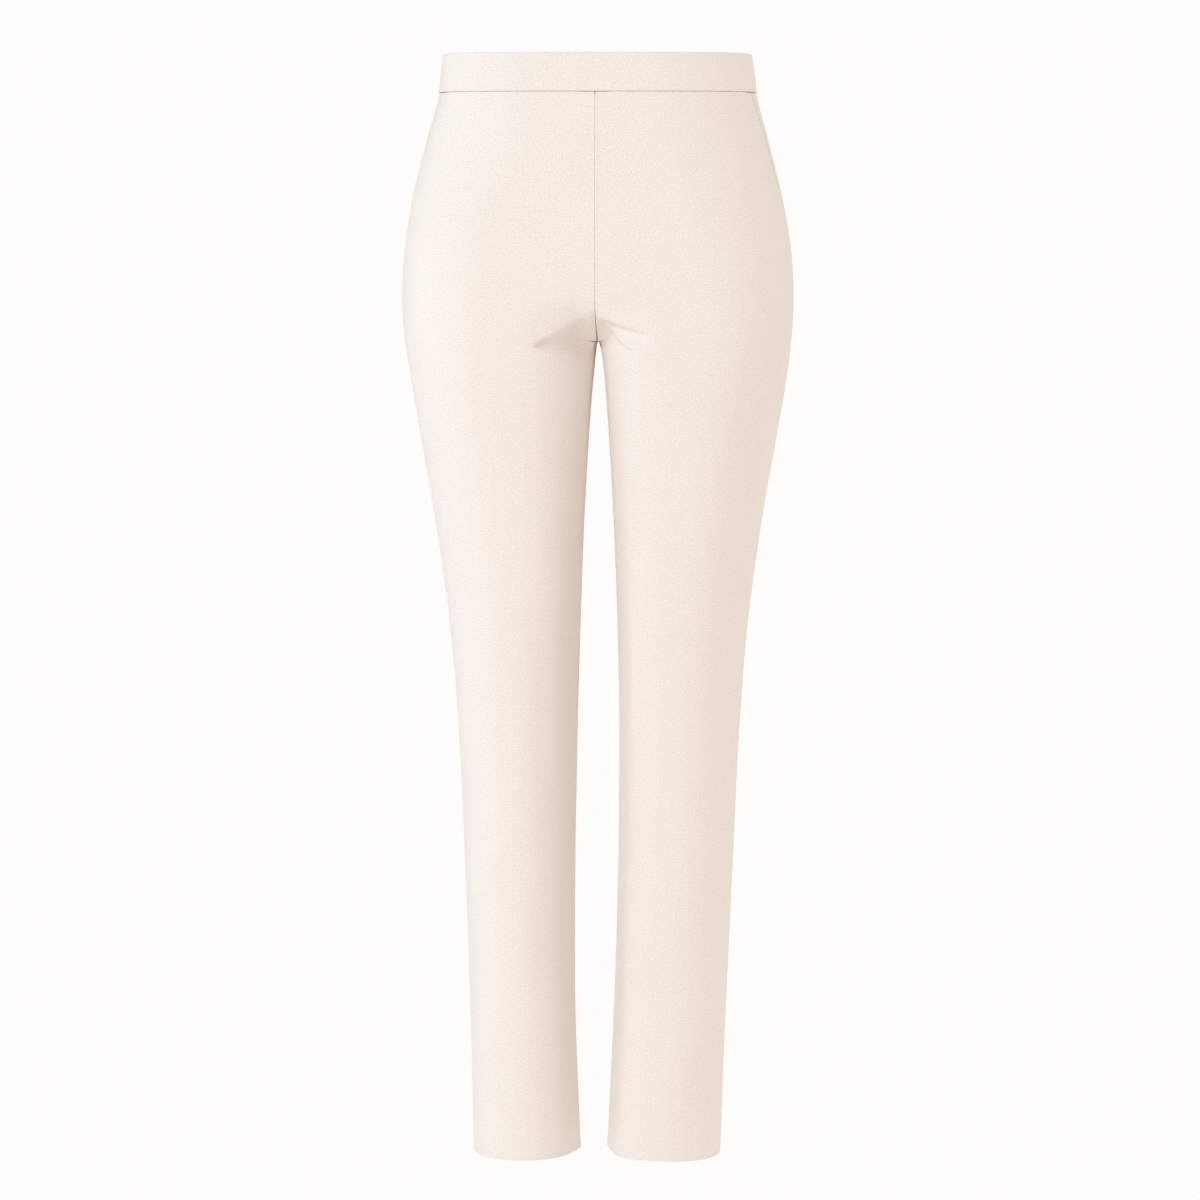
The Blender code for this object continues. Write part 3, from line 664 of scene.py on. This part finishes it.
def join_faces(name, outer, inner, flat, marks, round_joined, flip):
    """A closed mesh from the grids of a cloth's two faces: both grids, and rims between their edges.
    'flat' gives the flat coordinates and 'marks' the named values of each grid point."""
    rows, columns = outer.shape[:2]
    count = rows * columns
    index = np.arange(count).reshape(rows, columns)
    flat_index = np.arange(rows * flat.shape[1]).reshape(rows, flat.shape[1])
    if round_joined:
        index = np.concatenate([index, index[:, :1]], axis=1)

    def quads(grid, a, b, c, d):
        return np.stack([grid[a], grid[b], grid[c], grid[d]], axis=-1).reshape(-1, 4)

    up, down = slice(None, -1), slice(1, None)
    corners = ((up, up), (down, up), (down, down), (up, down))
    faces = [quads(index, *corners), quads(index, *corners[::-1]) + count]
    spots = [quads(flat_index, *corners), quads(flat_index, *corners[::-1])]
    edges = [(index[0], flat_index[0], False), (index[-1], flat_index[-1], True)]
    if not round_joined:
        edges += [(index[:, 0], flat_index[:, 0], True), (index[:, -1], flat_index[:, -1], False)]
    for line, spot, turned in edges:
        faces.append(edge_rim(line, count, turned))
        spots.append(edge_rim(spot, 0, turned))
    faces = np.concatenate(faces)
    spots = np.concatenate(spots)
    if flip:
        faces, spots = faces[:, ::-1], spots[:, ::-1]
    points = np.concatenate([outer.reshape(-1, 3), inner.reshape(-1, 3)])
    return make_piece(name, points, faces, flat.reshape(-1, 2)[spots.ravel()], marks)


def make_piece(name, points, faces, spread, marks):
    """An object of four-sided faces, with flat coordinates for each face corner and the marks."""
    mesh = bpy.data.meshes.new(name)
    mesh.vertices.add(len(points))
    mesh.vertices.foreach_set("co", points.astype(np.float32).ravel())
    mesh.loops.add(faces.size)
    mesh.loops.foreach_set("vertex_index", faces.astype(np.int32).ravel())
    mesh.polygons.add(len(faces))
    mesh.polygons.foreach_set("loop_start", np.arange(0, faces.size, 4, dtype=np.int32))
    mesh.update(calc_edges=True)
    layer = mesh.uv_layers.new(name="cloth")
    layer.data.foreach_set("uv", spread.astype(np.float32).ravel())
    for mark, values in marks.items():
        layer = mesh.attributes.new(mark, "FLOAT", "POINT")
        layer.data.foreach_set("value", np.tile(values.ravel(), 2).astype(np.float32))
    mesh.shade_smooth()
    mesh.validate()
    piece = bpy.data.objects.new(name, mesh)
    bpy.context.scene.collection.objects.link(piece)
    return piece


def make_panel(side, part):
    """A leg panel's cloth, hung from the waistband."""
    cloth = bpy.context.scene.trousers
    outer, flat, on_seam, raw = panel_face(side, part, cloth, inside=False)
    inner = panel_face(side, part, cloth, inside=True)[0]
    panel = part + "_" + leg_name(side)
    # the seam mark is painted shade in the seams; the raw edge mark is where thread covers the cloth
    marks = {"on_seam": on_seam, "raw_edge": raw}
    piece = join_faces(panel + "_cloth", outer, inner, flat, marks, round_joined=False, flip=side < 0)
    piece.data.materials.append(cloth_material("trouser cloth", cloth))
    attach(piece, "root")
    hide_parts(panel)
    return piece, panel_cut(outer)


def panel_cut(outer):
    """The flat size and area that a panel is cut to, from its finished face, allowances and hem."""
    across = np.linalg.norm(np.diff(outer, axis=1), axis=-1).sum(axis=1)
    down = np.linalg.norm(np.diff(outer, axis=0), axis=-1).sum(axis=0)
    sides = outer[1:, 1:] - outer[:-1, :-1], outer[1:, :-1] - outer[:-1, 1:]
    area = np.linalg.norm(np.cross(*sides), axis=-1).sum() / 2
    return float(across.max()), float(down.max()), float(area)


# ---- waistband ----
def band_profile(cloth, inside):
    """Heights and depths of one face of the waistband's cloth along its way. It turns in at the waist
    seam, goes up the outside, over the top in a half circle, and down the inside past the seam."""
    thickness = cloth.cloth_thickness
    local = thickness if inside else 0.0
    foot_radius = thickness + cloth.fold_gap / 2
    top_radius = cloth.band_thickness / 2
    foot = np.linspace(np.pi / 2, 0.0, 6)
    rise = np.linspace(0.0, 1.0, 22)[1:-1] ** 1.8
    top = np.linspace(0.0, np.pi, 14)
    fall = np.linspace(0.0, 1.0, 16)[1:]
    low = WAIST_SEAM + BAND_CLEAR + foot_radius
    high = BAND_TOP - top_radius
    height = np.concatenate([
        low - (foot_radius - local) * np.sin(foot),
        low + (high - low) * rise,
        high + (top_radius - local) * np.sin(top),
        high + (WAIST_SEAM - BAND_INNER_DROP - high) * fall,
    ])
    depth = np.concatenate([
        foot_radius - (foot_radius - local) * np.cos(foot),
        np.full(len(rise), local),
        top_radius - (top_radius - local) * np.cos(top),
        np.full(len(fall), cloth.band_thickness - local),
    ])
    return height, depth, depth < foot_radius * 1.01


def band_half(side, cloth, height, depth, outside):
    """One half of a face of the waistband, from centre front to centre back: its points, its flat
    distances from centre front, and its distances from the join at centre back."""
    start, end = middle_edges(side, height, 0.0)
    share = np.linspace(0.0, 1.0, BAND_COLUMNS + 1)
    at = start[:, None] + (end - start)[:, None] * share[None, :]
    at[:, -len(BAND_SEAM_STEPS):] = end[:, None] - np.array(BAND_SEAM_STEPS[::-1])[None, :]
    points, _, outward = cloth_frames(side, height, at)
    way_up = np.clip((height - WAIST_SEAM) / (BAND_TOP - WAIST_SEAM), 0, 1)
    bulge = BAND_LIFT + BAND_BULGE * np.sin(np.pi * way_up)
    ripple = BAND_RIPPLE * (np.sin(at / 0.0046 + side) + 0.7 * np.sin(at / 0.0071 + 2.0 * side))
    near = end[:, None] - at
    ditch = DITCH_DEPTH * np.exp(-(near / DITCH_WIDTH) ** 2)
    ditch *= (depth < cloth.band_thickness / 2)[:, None]
    ridge = seam_ridge(height - WAIST_SEAM) * outside
    lift = (bulge + ridge - depth)[:, None] + ripple - ditch
    return points + lift[..., None] * outward, side * (at - start[:, None]), near


def band_face(cloth, inside):
    """One face of the waistband's cloth, closed round the waist, with its flat coordinates, the painted
    shade at its join and foot, and how near each point is to a raw edge."""
    height, depth, outside = band_profile(cloth, inside)
    right, flat_right, near_right = band_half(-1, cloth, height, depth, outside)
    left, flat_left, near_left = band_half(1, cloth, height, depth, outside)
    ring = np.concatenate([left, right[:, -2:0:-1]], axis=1)
    total = flat_left[:, -1:] * 2
    flat_across = np.concatenate([flat_left, total + flat_right[:, -2:0:-1], total], axis=1)
    near = np.concatenate([near_left, near_right[:, -2:0:-1]], axis=1)
    path = np.concatenate([[0.0], np.cumsum(np.hypot(np.diff(height), np.diff(depth)))])
    flat = np.stack([flat_across, np.broadcast_to(path[:, None], flat_across.shape)], axis=-1)
    # painted shade along the waistband's foot at the waist seam and at its join at centre back
    foot_shade = np.exp(-((height - WAIST_SEAM) / FOOT_SHADE_WIDTH) ** 2) * outside
    on_seam = SEAM_SHADE_SHARE * np.maximum(np.exp(-(near / JOIN_SHADE_WIDTH) ** 2), foot_shade[:, None])
    above_raw = height - (WAIST_SEAM - BAND_INNER_DROP)
    raw = np.where(depth > cloth.band_thickness / 2, np.clip(1 - above_raw / BAND_RAW_WIDTH, 0, 1), 0.0)
    return ring, flat, on_seam, np.broadcast_to(raw[:, None], near.shape)


def make_waistband():
    """The waistband's cloth, folded over its elastic."""
    cloth = bpy.context.scene.trousers
    outer, flat, on_seam, raw = band_face(cloth, inside=False)
    inner = band_face(cloth, inside=True)[0]
    # the seam mark is painted shade at the join and foot; the raw edge mark is where thread covers the
    # cloth
    marks = {"on_seam": on_seam, "raw_edge": raw}
    piece = join_faces("waistband_cloth", outer, inner, flat, marks, round_joined=True, flip=True)
    piece.data.materials.append(cloth_material("waistband cloth", cloth))
    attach(piece, "root")
    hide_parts("waistband")
    length = float(flat[:, -1, 0].max())
    depth = float(flat[-1, 0, 1])
    return piece, (length, depth)


# ---- materials ----
def node(tree, kind, **values):
    """A shader node with its properties, and its sockets where the name is one of them, set."""
    made = tree.nodes.new(kind)
    for name, value in values.items():
        if name in made.inputs:
            made.inputs[name].default_value = value
        else:
            setattr(made, name, value)
    return made


def put(tree, value, socket):
    """Links a socket where the value is another socket, and sets it where it is a number or colour."""
    if isinstance(value, bpy.types.NodeSocket):
        tree.links.new(value, socket)
    else:
        socket.default_value = value


def maths(tree, operation, *values, clamp=False):
    made = node(tree, "ShaderNodeMath", operation=operation, use_clamp=clamp)
    for socket, value in zip(made.inputs, values):
        put(tree, value, socket)
    return made.outputs[0]


def mixed(tree, blend, factor, first, second):
    made = node(tree, "ShaderNodeMix", data_type="RGBA", blend_type=blend)
    for name, value in (("Factor", factor), ("A", first), ("B", second)):
        put(tree, value, made.inputs[name])
    return made.outputs["Result"]


def tinted(colour, factor):
    return tuple(channel * factor for channel in colour) + (1.0,)


def cloth_weave(tree, along, pitch):
    """Plain weave: the product of a sine wave each way along the cloth's flat coordinates."""
    turns = 2 * np.pi / pitch
    warp = maths(tree, "SINE", maths(tree, "MULTIPLY", along[0], turns))
    weft = maths(tree, "SINE", maths(tree, "MULTIPLY", along[1], turns))
    return maths(tree, "MULTIPLY", warp, weft)


def cloth_grain(tree, spread):
    """Pebbled grain of the cloth: a fine noise and one half as fine, along its flat coordinates."""
    fine = node(tree, "ShaderNodeTexNoise", Scale=1400.0, Detail=1.0, Roughness=0.5)
    pebble = node(tree, "ShaderNodeTexNoise", Scale=700.0, Detail=1.0, Roughness=0.5)
    for noise in (fine, pebble):
        tree.links.new(spread, noise.inputs["Vector"])
    return maths(tree, "ADD", maths(tree, "MULTIPLY", fine.outputs["Fac"], 0.6),
                 maths(tree, "MULTIPLY", pebble.outputs["Fac"], 0.4))


def cloth_dye_and_shade(tree, cloth, grain):
    """Colour of the cloth: speckled by its grain, faintly uneven in broad patches, and with painted shade
    that darkens it at the seams' turned edges and lines."""
    colour = tuple(cloth.cloth_colour)
    place = node(tree, "ShaderNodeTexCoord").outputs["Object"]
    broad = node(tree, "ShaderNodeTexNoise", Scale=16.0, Detail=2.0, Roughness=0.5)
    tree.links.new(place, broad.inputs["Vector"])
    # the seam attribute holds painted shade for the seams' ditches and lines
    seam = node(tree, "ShaderNodeAttribute", attribute_name="on_seam").outputs["Fac"]
    speckled = mixed(tree, "MIX", maths(tree, "MULTIPLY_ADD", grain, 3.0, -1.0, clamp=True),
                     tinted(colour, 1.0 - 0.150 * cloth.grain), tinted(colour, 1.0 + 0.110 * cloth.grain))
    uneven = mixed(tree, "MULTIPLY", broad.outputs["Fac"], speckled, (0.975, 0.968, 0.960, 1.0))
    # painted seam shade: the cloth is multiplied by a darker warm colour where the seam attribute is high
    return mixed(tree, "MULTIPLY", maths(tree, "MULTIPLY", seam, 0.9), uneven, (0.86, 0.80, 0.75, 1.0))


def edge_thread(tree, along):
    """Loops of thread over a raw edge: a sine wave on a slant, and where there is thread at all."""
    raw = node(tree, "ShaderNodeAttribute", attribute_name="raw_edge")
    slanted = maths(tree, "ADD", along[0], maths(tree, "MULTIPLY", along[1], 1.3))
    loops = maths(tree, "SINE", maths(tree, "MULTIPLY", slanted, 2 * np.pi / 0.0014))
    return loops, maths(tree, "GREATER_THAN", raw.outputs["Fac"], 0.02)


def raised(tree, height, strength, distance, normal=None):
    """A bump by a height, over the normal of the bump below it."""
    bump = node(tree, "ShaderNodeBump", Strength=strength, Distance=distance)
    tree.links.new(height, bump.inputs["Height"])
    if normal:
        tree.links.new(normal, bump.inputs["Normal"])
    return bump.outputs["Normal"]


def cloth_material(name, cloth):
    """Fine matte stretch cloth, woven and grained, with thread over its raw edges."""
    known = bpy.data.materials.get(name)
    if known:
        return known
    material = bpy.data.materials.new(name)
    material.use_nodes = True
    tree = material.node_tree
    link = tree.links.new
    shader = tree.nodes["Principled BSDF"]
    for socket, value in CLOTH_FINISH.items():
        shader.inputs[socket].default_value = value

    spread = node(tree, "ShaderNodeUVMap", uv_map="cloth").outputs["UV"]
    parts = node(tree, "ShaderNodeSeparateXYZ")
    link(spread, parts.inputs[0])
    weave = cloth_weave(tree, parts.outputs, cloth.thread_pitch)
    grain = cloth_grain(tree, spread)
    loops, covered = edge_thread(tree, parts.outputs)
    shown = maths(tree, "MULTIPLY", covered, maths(tree, "MULTIPLY_ADD", loops, 0.35, 0.5))
    thread = tinted(tuple(cloth.cloth_colour), 1.04)
    link(mixed(tree, "MIX", shown, cloth_dye_and_shade(tree, cloth, grain), thread), shader.inputs["Base Color"])

    normal = raised(tree, weave, 0.35, 0.00006)
    normal = raised(tree, grain, 0.9 * cloth.grain, 0.0004, normal)
    normal = raised(tree, maths(tree, "MULTIPLY", covered, loops), 0.8, 0.0004, normal)
    link(normal, shader.inputs["Normal"])
    return material


def floor_material(studio):
    """Matte pale floor with a faint mottle."""
    material = bpy.data.materials.new("studio floor")
    material.use_nodes = True
    tree = material.node_tree
    shader = tree.nodes["Principled BSDF"]
    shader.inputs["Roughness"].default_value = 0.95
    shader.inputs["Specular IOR Level"].default_value = 0.1
    place = node(tree, "ShaderNodeTexCoord")
    mottle = node(tree, "ShaderNodeTexNoise", Scale=3.0, Detail=2.0)
    tree.links.new(place.outputs["Object"], mottle.inputs["Vector"])
    colour = mixed(tree, "MIX", mottle.outputs["Fac"], tinted(studio.floor_colour, 0.985),
                   tinted(studio.floor_colour, 1.0))
    tree.links.new(colour, shader.inputs["Base Color"])
    return material


# ---- stage ----
def make_floor(studio):
    """A plain level floor under the garment."""
    half = studio.floor_size / 2
    level = HEM - studio.floor_drop
    corners = [(-half, -half, level), (half, -half, level), (half, half, level), (-half, half, level)]
    mesh = bpy.data.meshes.new("studio_floor")
    mesh.from_pydata(corners, [], [(0, 1, 2, 3)])
    mesh.materials.append(floor_material(studio))
    floor = bpy.data.objects.new("studio_floor", mesh)
    bpy.context.scene.collection.objects.link(floor)


def make_world(studio):
    """Even light from all around, with a plain pale space behind."""
    world = bpy.data.worlds.new("studio")
    world.use_nodes = True
    tree = world.node_tree
    background = tree.nodes["Background"]
    background.inputs["Color"].default_value = tuple(studio.fill_colour) + (1.0,)
    background.inputs["Strength"].default_value = studio.fill_strength
    seen = node(tree, "ShaderNodeBackground", Color=tuple(studio.floor_colour) + (1.0,), Strength=1.0)
    path = node(tree, "ShaderNodeLightPath")
    mix = node(tree, "ShaderNodeMixShader")
    tree.links.new(path.outputs["Is Camera Ray"], mix.inputs["Fac"])
    tree.links.new(background.outputs[0], mix.inputs[1])
    tree.links.new(seen.outputs[0], mix.inputs[2])
    tree.links.new(mix.outputs[0], tree.nodes["World Output"].inputs["Surface"])
    bpy.context.scene.world = world


def aim(thing, target):
    thing.rotation_euler = (Vector(target) - thing.location).to_track_quat("-Z", "Y").to_euler()


def make_light(name, turn, rise, power, colour):
    """A square soft light that stands at an angle round from the front and above level, and faces the
    middle of the legs."""
    data = bpy.data.lights.new(name, "AREA")
    data.size = LIGHT_SIZE
    data.energy = power
    data.color = colour
    light = bpy.data.objects.new(name, data)
    turn, rise = np.radians(turn), np.radians(rise)
    light.location = (LIGHT_DISTANCE * np.cos(rise) * np.sin(turn),
                      -LIGHT_DISTANCE * np.cos(rise) * np.cos(turn),
                      LIGHT_TARGET[2] + LIGHT_DISTANCE * np.sin(rise))
    aim(light, LIGHT_TARGET)
    bpy.context.scene.collection.objects.link(light)


def make_camera(studio):
    """The camera at the height and angle that the garment is seen from."""
    data = bpy.data.cameras.new("camera")
    data.lens = studio.lens
    data.sensor_width = 36.0
    data.clip_end = 50.0
    camera = bpy.data.objects.new("camera", data)
    turn = studio.camera_turn
    camera.location = (CAMERA_TARGET[0] + studio.camera_distance * np.sin(turn),
                       -studio.camera_distance * np.cos(turn), studio.camera_height)
    aim(camera, CAMERA_TARGET)
    bpy.context.scene.collection.objects.link(camera)
    bpy.context.scene.camera = camera


# ---- operators ----
def hang_panels(part):
    """Make the right and the left panel of the front or back; the sheet each is cut as is worked out but
    not used.
    """
    for side in (-1, 1):
        piece, (width, length, area) = make_panel(side, part)


class TROUSERS_OT_front_panels(bpy.types.Operator):
    """Make the two front leg panels"""
    bl_idname = "trousers.front_panels"
    bl_label = "Front panels"

    def execute(self, context):
        hang_panels("front")
        return {"FINISHED"}


class TROUSERS_OT_back_panels(bpy.types.Operator):
    """Make the two back leg panels"""
    bl_idname = "trousers.back_panels"
    bl_label = "Back panels"

    def execute(self, context):
        hang_panels("back")
        return {"FINISHED"}


class TROUSERS_OT_waistband(bpy.types.Operator):
    """Make the waistband"""
    bl_idname = "trousers.waistband"
    bl_label = "Waistband"

    def execute(self, context):
        piece, flat = make_waistband()
        return {"FINISHED"}


class TROUSERS_OT_stage(bpy.types.Operator):
    """Make the floor, the lights and the camera"""
    bl_idname = "trousers.stage"
    bl_label = "Stage"

    def execute(self, context):
        studio = context.scene.trouser_studio
        make_floor(studio)
        make_world(studio)
        for name, turn, rise, power, colour in STUDIO_LIGHTS:
            make_light(name, turn, rise, power * studio.light_power, colour)
        make_camera(studio)
        context.scene.cycles.diffuse_bounces = studio.light_bounces
        context.scene.view_settings.view_transform = "Standard"
        return {"FINISHED"}


class TROUSERS_PT_sidebar(bpy.types.Panel):
    """Buttons for each piece and the sizes and colours they read"""
    bl_label = "Trousers"
    bl_idname = "TROUSERS_PT_sidebar"
    bl_space_type = "VIEW_3D"
    bl_region_type = "UI"
    bl_category = "Trousers"

    def draw(self, context):
        layout = self.layout
        for settings in (context.scene.trousers, context.scene.trouser_studio):
            for name in settings.bl_rna.properties.keys():
                if name not in ("rna_type", "name"):
                    layout.prop(settings, name)
        for operator in OPERATORS:
            layout.operator(operator.bl_idname)


OPERATORS = (
    TROUSERS_OT_front_panels,
    TROUSERS_OT_back_panels,
    TROUSERS_OT_waistband,
    TROUSERS_OT_stage,
)
CLASSES = (TrouserSettings, StudioSettings) + OPERATORS + (TROUSERS_PT_sidebar,)


def register():
    for each in CLASSES:
        bpy.utils.register_class(each)
    bpy.types.Scene.trousers = PointerProperty(type=TrouserSettings)
    bpy.types.Scene.trouser_studio = PointerProperty(type=StudioSettings)


def unregister():
    del bpy.types.Scene.trouser_studio
    del bpy.types.Scene.trousers
    for each in reversed(CLASSES):
        bpy.utils.unregister_class(each)


def main():
    """Make every piece and the stage."""
    register()
    bpy.ops.trousers.front_panels()
    bpy.ops.trousers.back_panels()
    bpy.ops.trousers.waistband()
    bpy.ops.trousers.stage()


if __name__ == "__main__":
    main()
